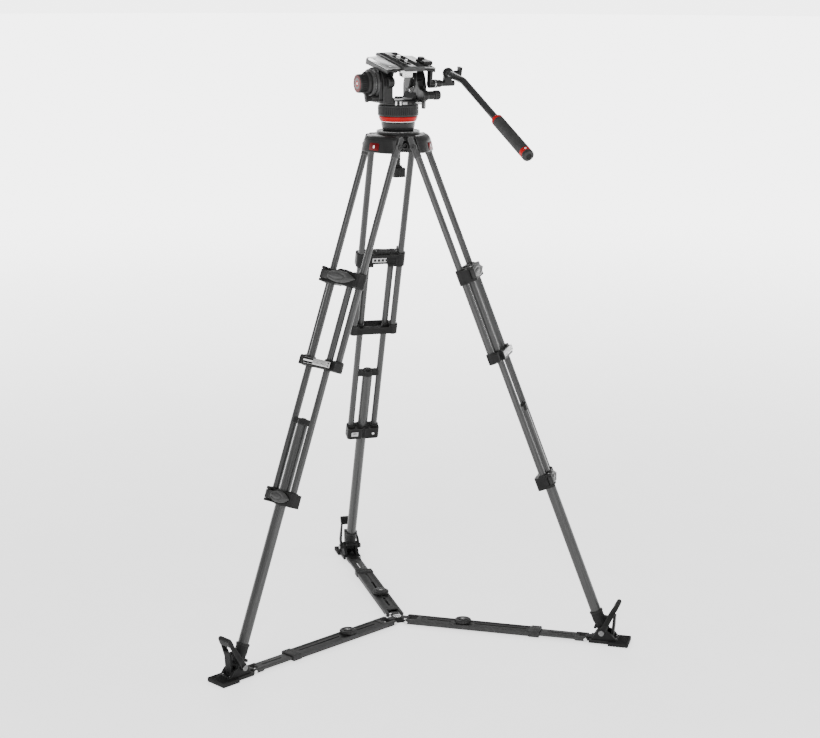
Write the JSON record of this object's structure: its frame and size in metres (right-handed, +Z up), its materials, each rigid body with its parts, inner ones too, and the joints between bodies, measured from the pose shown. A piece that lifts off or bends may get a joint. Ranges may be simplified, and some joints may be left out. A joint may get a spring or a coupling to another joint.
{
  "type": "camera tripod with fluid head",
  "caption": "Three-legged camera support: twin-tube telescoping legs, folding spreader feet, levelling ball and a fluid pan-and-tilt head with sliding plate and pan bar.",
  "frame": {"origin": "on the floor, under the middle of the spreader hub, on the axis of the bowl", "axes": "+Z up, +Y the way the camera looks, +X to the operator's right"},
  "size_m": [0.9512, 0.9403, 1.3134],
  "materials": {
    "arm_grey": "dark grey painted extrusion",
    "ball_black": "hard-anodised black",
    "carbon_tube": "woven carbon tube under a satin lacquer",
    "casting_black": "black powder-coated light-alloy casting, fine texture",
    "head_gloss": "black semi-gloss paint on a light-alloy body",
    "lever_grey": "moulded grey lever, satin",
    "plastic_black": "moulded black plastic",
    "platform_silver": "silver-grey anodised",
    "rubber_black": "ribbed dark grey rubber",
    "steel": "bright steel"
  },
  "bodies": {
    "crown": {"crown": "casting_black", "leg_hinge_pins": "steel"},
    "leg_a_upper": {"leg_a_upper_castings": "casting_black", "leg_a_upper_tubes": "carbon_tube"},
    "leg_a_middle": {"leg_a_middle_clamps": "casting_black", "leg_a_middle_tubes": "carbon_tube"},
    "leg_a_lower": {"leg_a_lower_castings": "casting_black", "leg_a_lower_tube": "carbon_tube"},
    "leg_a_middle_lever": {"leg_a_middle_lever": "lever_grey"},
    "leg_a_lower_lever": {"leg_a_lower_lever": "lever_grey"},
    "foot_a": {"foot_a_shoe": "casting_black"},
    "foot_a_lever": {"foot_a_lever": "casting_black"},
    "spreader_a_inner": {"spreader_a_inner": "arm_grey"},
    "spreader_a_outer": {"spreader_a_outer": "arm_grey"},
    "spreader_a_knob": {"spreader_a_knob": "plastic_black"},
    "leg_b_upper": {"leg_b_upper_castings": "casting_black", "leg_b_upper_tubes": "carbon_tube"},
    "leg_b_middle": {"leg_b_middle_clamps": "casting_black", "leg_b_middle_tubes": "carbon_tube"},
    "leg_b_lower": {"leg_b_lower_castings": "casting_black", "leg_b_lower_tube": "carbon_tube"},
    "leg_b_middle_lever": {"leg_b_middle_lever": "lever_grey"},
    "leg_b_lower_lever": {"leg_b_lower_lever": "lever_grey"},
    "foot_b": {"foot_b_shoe": "casting_black"},
    "foot_b_lever": {"foot_b_lever": "casting_black"},
    "spreader_b_inner": {"spreader_b_inner": "arm_grey"},
    "spreader_b_outer": {"spreader_b_outer": "arm_grey"},
    "spreader_b_knob": {"spreader_b_knob": "plastic_black"},
    "leg_c_upper": {"leg_c_upper_castings": "casting_black", "leg_c_upper_tubes": "carbon_tube"},
    "leg_c_middle": {"leg_c_middle_clamps": "casting_black", "leg_c_middle_tubes": "carbon_tube"},
    "leg_c_lower": {"leg_c_lower_castings": "casting_black", "leg_c_lower_tube": "carbon_tube"},
    "leg_c_middle_lever": {"leg_c_middle_lever": "lever_grey"},
    "leg_c_lower_lever": {"leg_c_lower_lever": "lever_grey"},
    "foot_c": {"foot_c_shoe": "casting_black"},
    "foot_c_lever": {"foot_c_lever": "casting_black"},
    "spreader_c_inner": {"spreader_c_inner": "arm_grey"},
    "spreader_c_outer": {"spreader_c_outer": "arm_grey"},
    "spreader_c_knob": {"spreader_c_knob": "plastic_black"},
    "spreader_hub": {"spreader_hub": "arm_grey"},
    "half_ball": {"half_ball": "ball_black", "leveling_rod": "steel"},
    "bowl_clamp_knob": {"bowl_clamp_knob": "plastic_black"},
    "pan_drag_ring": {"pan_drag_ring": "plastic_black"},
    "head_yoke": {"head_yoke": "head_gloss"},
    "pan_lock_lever": {"pan_lock_lever": "plastic_black"},
    "tilt_platform": {"tilt_platform": "platform_silver"},
    "tilt_drag_knob": {"tilt_drag_knob": "plastic_black"},
    "tilt_lock_lever": {"tilt_lock_lever": "plastic_black"},
    "counterbalance_dial": {"counterbalance_dial": "plastic_black"},
    "plate_lock_lever": {"plate_lock_lever": "plastic_black"},
    "plate_release_button": {"plate_release_button": "plastic_black"},
    "panbar_knob": {"panbar_knob": "plastic_black"},
    "camera_plate": {"camera_plate": "head_gloss", "camera_screws": "steel"},
    "pan_bar": {"panbar_clamp": "head_gloss", "panbar_tube": "head_gloss", "panbar_grip": "rubber_black"}
  },
  "joints": [
    {"name": "leg_a_spread", "type": "hinge", "parent": "crown", "child": "leg_a_upper", "pos_m": [-0.04683, -0.01522, 1.116], "axis": [-0.309, 0.9511, 0], "range_deg": [-1, 5]},
    {"name": "leg_a_upper_slide", "type": "slide", "parent": "leg_a_upper", "child": "leg_a_middle", "axis": [-0.3461, -0.1125, -0.9314], "range_m": [-0.22, 0.085]},
    {"name": "leg_a_lower_slide", "type": "slide", "parent": "leg_a_middle", "child": "leg_a_lower", "axis": [0.3461, 0.1125, 0.9314], "range_m": [-0.04, 0.2]},
    {"name": "foot_a_pitch", "type": "hinge", "parent": "leg_a_lower", "child": "foot_a", "pos_m": [-0.46127, -0.14987, 0.02948], "axis": [-0.309, 0.9511, 0], "range_deg": [-5, 1]},
    {"name": "spreader_a_lift", "type": "hinge", "parent": "foot_a", "child": "spreader_a_inner", "pos_m": [-0.42607, -0.13844, 0.0074], "axis": [0.309, -0.9511, 0], "range_deg": [0, 10]},
    {"name": "spreader_a_slide", "type": "slide", "parent": "spreader_a_inner", "child": "spreader_a_outer", "axis": [0.9511, 0.309, 0], "range_m": [-0.0805, 0.0311]},
    {"name": "spreader_a_knob_turn", "type": "hinge", "parent": "spreader_a_outer", "child": "spreader_a_knob", "pos_m": [-0.15027, -0.04882, 0.018], "axis": [0, 0, 1], "range_deg": [-180, 180]},
    {"name": "leg_a_middle_lever_turn", "type": "hinge", "parent": "leg_a_middle", "child": "leg_a_middle_lever", "pos_m": [-0.18973, -0.01118, 0.84277], "axis": [-0.3461, -0.1125, -0.9314], "range_deg": [0, 110]},
    {"name": "leg_a_lower_lever_turn", "type": "hinge", "parent": "leg_a_middle", "child": "leg_a_lower_lever", "pos_m": [-0.35624, -0.08105, 0.38217], "axis": [-0.3461, -0.1125, -0.9314], "range_deg": [0, 110]},
    {"name": "foot_a_lever_turn", "type": "hinge", "parent": "foot_a", "child": "foot_a_lever", "pos_m": [-0.46126, -0.14987, 0.0295], "axis": [0.309, -0.9511, 0], "range_deg": [-10, 55]},
    {"name": "leg_b_spread", "type": "hinge", "parent": "crown", "child": "leg_b_upper", "pos_m": [0.03659, -0.03295, 1.116], "axis": [-0.6691, -0.7431, 0], "range_deg": [-1, 5]},
    {"name": "leg_b_upper_slide", "type": "slide", "parent": "leg_b_upper", "child": "leg_b_middle", "axis": [0.2704, -0.2435, -0.9314], "range_m": [-0.22, 0.085]},
    {"name": "leg_b_lower_slide", "type": "slide", "parent": "leg_b_middle", "child": "leg_b_lower", "axis": [-0.2704, 0.2435, 0.9314], "range_m": [-0.04, 0.2]},
    {"name": "foot_b_pitch", "type": "hinge", "parent": "leg_b_lower", "child": "foot_b", "pos_m": [0.36043, -0.32453, 0.02948], "axis": [-0.6691, -0.7431, 0], "range_deg": [-5, 1]},
    {"name": "spreader_b_lift", "type": "hinge", "parent": "foot_b", "child": "spreader_b_inner", "pos_m": [0.33293, -0.29977, 0.0074], "axis": [0.6691, 0.7431, 0], "range_deg": [0, 10]},
    {"name": "spreader_b_slide", "type": "slide", "parent": "spreader_b_inner", "child": "spreader_b_outer", "axis": [-0.7431, 0.6691, 0], "range_m": [-0.0805, 0.0311]},
    {"name": "spreader_b_knob_turn", "type": "hinge", "parent": "spreader_b_outer", "child": "spreader_b_knob", "pos_m": [0.11742, -0.10572, 0.018], "axis": [0, 0, 1], "range_deg": [-180, 180]},
    {"name": "leg_b_middle_lever_turn", "type": "hinge", "parent": "leg_b_middle", "child": "leg_b_middle_lever", "pos_m": [0.10455, -0.15873, 0.84277], "axis": [0.2704, -0.2435, -0.9314], "range_deg": [0, 110]},
    {"name": "leg_b_lower_lever_turn", "type": "hinge", "parent": "leg_b_middle", "child": "leg_b_lower_lever", "pos_m": [0.24831, -0.26799, 0.38217], "axis": [0.2704, -0.2435, -0.9314], "range_deg": [0, 110]},
    {"name": "foot_b_lever_turn", "type": "hinge", "parent": "foot_b", "child": "foot_b_lever", "pos_m": [0.36043, -0.32453, 0.0295], "axis": [0.6691, 0.7431, 0], "range_deg": [-10, 55]},
    {"name": "leg_c_spread", "type": "hinge", "parent": "crown", "child": "leg_c_upper", "pos_m": [0.01024, 0.04816, 1.116], "axis": [0.9781, -0.2079, 0], "range_deg": [-1, 5]},
    {"name": "leg_c_upper_slide", "type": "slide", "parent": "leg_c_upper", "child": "leg_c_middle", "axis": [0.0757, 0.3559, -0.9314], "range_m": [-0.22, 0.085]},
    {"name": "leg_c_lower_slide", "type": "slide", "parent": "leg_c_middle", "child": "leg_c_lower", "axis": [-0.0757, -0.3559, 0.9314], "range_m": [-0.04, 0.2]},
    {"name": "foot_c_pitch", "type": "hinge", "parent": "leg_c_lower", "child": "foot_c", "pos_m": [0.10084, 0.4744, 0.02948], "axis": [0.9781, -0.2079, 0], "range_deg": [-5, 1]},
    {"name": "spreader_c_lift", "type": "hinge", "parent": "foot_c", "child": "spreader_c_inner", "pos_m": [0.09314, 0.43821, 0.0074], "axis": [-0.9781, 0.2079, 0], "range_deg": [0, 10]},
    {"name": "spreader_c_slide", "type": "slide", "parent": "spreader_c_inner", "child": "spreader_c_outer", "axis": [-0.2079, -0.9781, 0], "range_m": [-0.0805, 0.0311]},
    {"name": "spreader_c_knob_turn", "type": "hinge", "parent": "spreader_c_outer", "child": "spreader_c_knob", "pos_m": [0.03285, 0.15455, 0.018], "axis": [0, 0, 1], "range_deg": [-180, 180]},
    {"name": "leg_c_middle_lever_turn", "type": "hinge", "parent": "leg_c_middle", "child": "leg_c_middle_lever", "pos_m": [0.08519, 0.1699, 0.84277], "axis": [0.0757, 0.3559, -0.9314], "range_deg": [0, 110]},
    {"name": "leg_c_lower_lever_turn", "type": "hinge", "parent": "leg_c_middle", "child": "leg_c_lower_lever", "pos_m": [0.10793, 0.34904, 0.38217], "axis": [0.0757, 0.3559, -0.9314], "range_deg": [0, 110]},
    {"name": "foot_c_lever_turn", "type": "hinge", "parent": "foot_c", "child": "foot_c_lever", "pos_m": [0.10084, 0.4744, 0.0295], "axis": [-0.9781, 0.2079, 0], "range_deg": [-10, 55]},
    {"name": "spreader_hub_level", "type": "hinge", "parent": "spreader_a_outer", "child": "spreader_hub", "pos_m": [-0.02473, -0.00803, 0.0074], "axis": [0.309, -0.9511, 0], "range_deg": [-10, 0]},
    {"name": "head_levelling", "type": "hinge", "parent": "crown", "child": "half_ball", "pos_m": [0, 0, 1.163], "axis": [1, 0, 0], "range_deg": [-12, 12]},
    {"name": "bowl_clamp_turn", "type": "hinge", "parent": "half_ball", "child": "bowl_clamp_knob", "pos_m": [0, 0, 1.055], "axis": [0, 0, 1], "range_deg": [-180, 180]},
    {"name": "pan_drag_turn", "type": "hinge", "parent": "half_ball", "child": "pan_drag_ring", "pos_m": [0, 0, 1.19], "axis": [0, 0, 1], "range_deg": [-150, 150]},
    {"name": "pan", "type": "hinge", "parent": "half_ball", "child": "head_yoke", "pos_m": [0, 0, 1.208], "axis": [0, 0, 1], "continuous": true},
    {"name": "pan_lock_turn", "type": "hinge", "parent": "head_yoke", "child": "pan_lock_lever", "pos_m": [0.0396, -0.041, 1.2075], "axis": [0.6947, -0.7193, 0], "range_deg": [-45, 45]},
    {"name": "tilt", "type": "hinge", "parent": "head_yoke", "child": "tilt_platform", "pos_m": [0, 0, 1.251], "axis": [1, 0, 0], "range_deg": [-70, 30]},
    {"name": "tilt_drag_turn", "type": "hinge", "parent": "head_yoke", "child": "tilt_drag_knob", "pos_m": [-0.088, 0, 1.251], "axis": [1, 0, 0], "range_deg": [-150, 150]},
    {"name": "tilt_lock_turn", "type": "hinge", "parent": "head_yoke", "child": "tilt_lock_lever", "pos_m": [-0.08, -0.018, 1.2195], "axis": [1, 0, 0], "range_deg": [0, 60]},
    {"name": "counterbalance_turn", "type": "hinge", "parent": "head_yoke", "child": "counterbalance_dial", "pos_m": [0.062, -0.0565, 1.225], "axis": [1, 0, 0], "range_deg": [-135, 135]},
    {"name": "plate_slide", "type": "slide", "parent": "tilt_platform", "child": "camera_plate", "axis": [0, 0.9848, 0.1736], "range_m": [-0.035, 0.035]},
    {"name": "plate_lock_turn", "type": "hinge", "parent": "tilt_platform", "child": "plate_lock_lever", "pos_m": [0.044, -0.02212, 1.29584], "axis": [0, -0.1736, 0.9848], "range_deg": [0, 60]},
    {"name": "plate_release_push", "type": "slide", "parent": "tilt_platform", "child": "plate_release_button", "axis": [0, 0.9848, 0.1736], "range_m": [0, 0.003], "stiffness_N_per_m": 400},
    {"name": "pan_bar_angle", "type": "hinge", "parent": "tilt_platform", "child": "pan_bar", "pos_m": [0.07, -0.04017, 1.24849], "axis": [1, 0, 0], "range_deg": [-60, 20]},
    {"name": "pan_bar_clamp_turn", "type": "hinge", "parent": "pan_bar", "child": "panbar_knob", "pos_m": [0.116, -0.04802, 1.26995], "axis": [1, 0, 0], "range_deg": [-150, 150]}
  ],
  "couplings": [
    {"joint": "leg_b_upper_slide", "follows": "leg_a_upper_slide", "ratio": 1},
    {"joint": "leg_b_lower_slide", "follows": "leg_a_lower_slide", "ratio": 1},
    {"joint": "spreader_b_lift", "follows": "spreader_a_lift", "ratio": 1},
    {"joint": "leg_c_upper_slide", "follows": "leg_a_upper_slide", "ratio": 1},
    {"joint": "leg_c_lower_slide", "follows": "leg_a_lower_slide", "ratio": 1},
    {"joint": "spreader_c_lift", "follows": "spreader_a_lift", "ratio": 1},
    {"joint": "spreader_a_slide", "follows": "leg_a_upper_slide", "ratio": 0.3639},
    {"joint": "leg_a_spread", "follows": "leg_a_lower_slide", "rad_per_m": 0.4117},
    {"joint": "foot_a_pitch", "follows": "leg_a_lower_slide", "rad_per_m": -0.4117},
    {"joint": "spreader_b_slide", "follows": "leg_a_upper_slide", "ratio": 0.3639},
    {"joint": "leg_b_spread", "follows": "leg_a_lower_slide", "rad_per_m": 0.4117},
    {"joint": "foot_b_pitch", "follows": "leg_a_lower_slide", "rad_per_m": -0.4117},
    {"joint": "spreader_c_slide", "follows": "leg_a_upper_slide", "ratio": 0.3639},
    {"joint": "leg_c_spread", "follows": "leg_a_lower_slide", "rad_per_m": 0.4117},
    {"joint": "foot_c_pitch", "follows": "leg_a_lower_slide", "rad_per_m": -0.4117},
    {"joint": "spreader_hub_level", "follows": "spreader_a_lift", "ratio": -1}
  ]
}
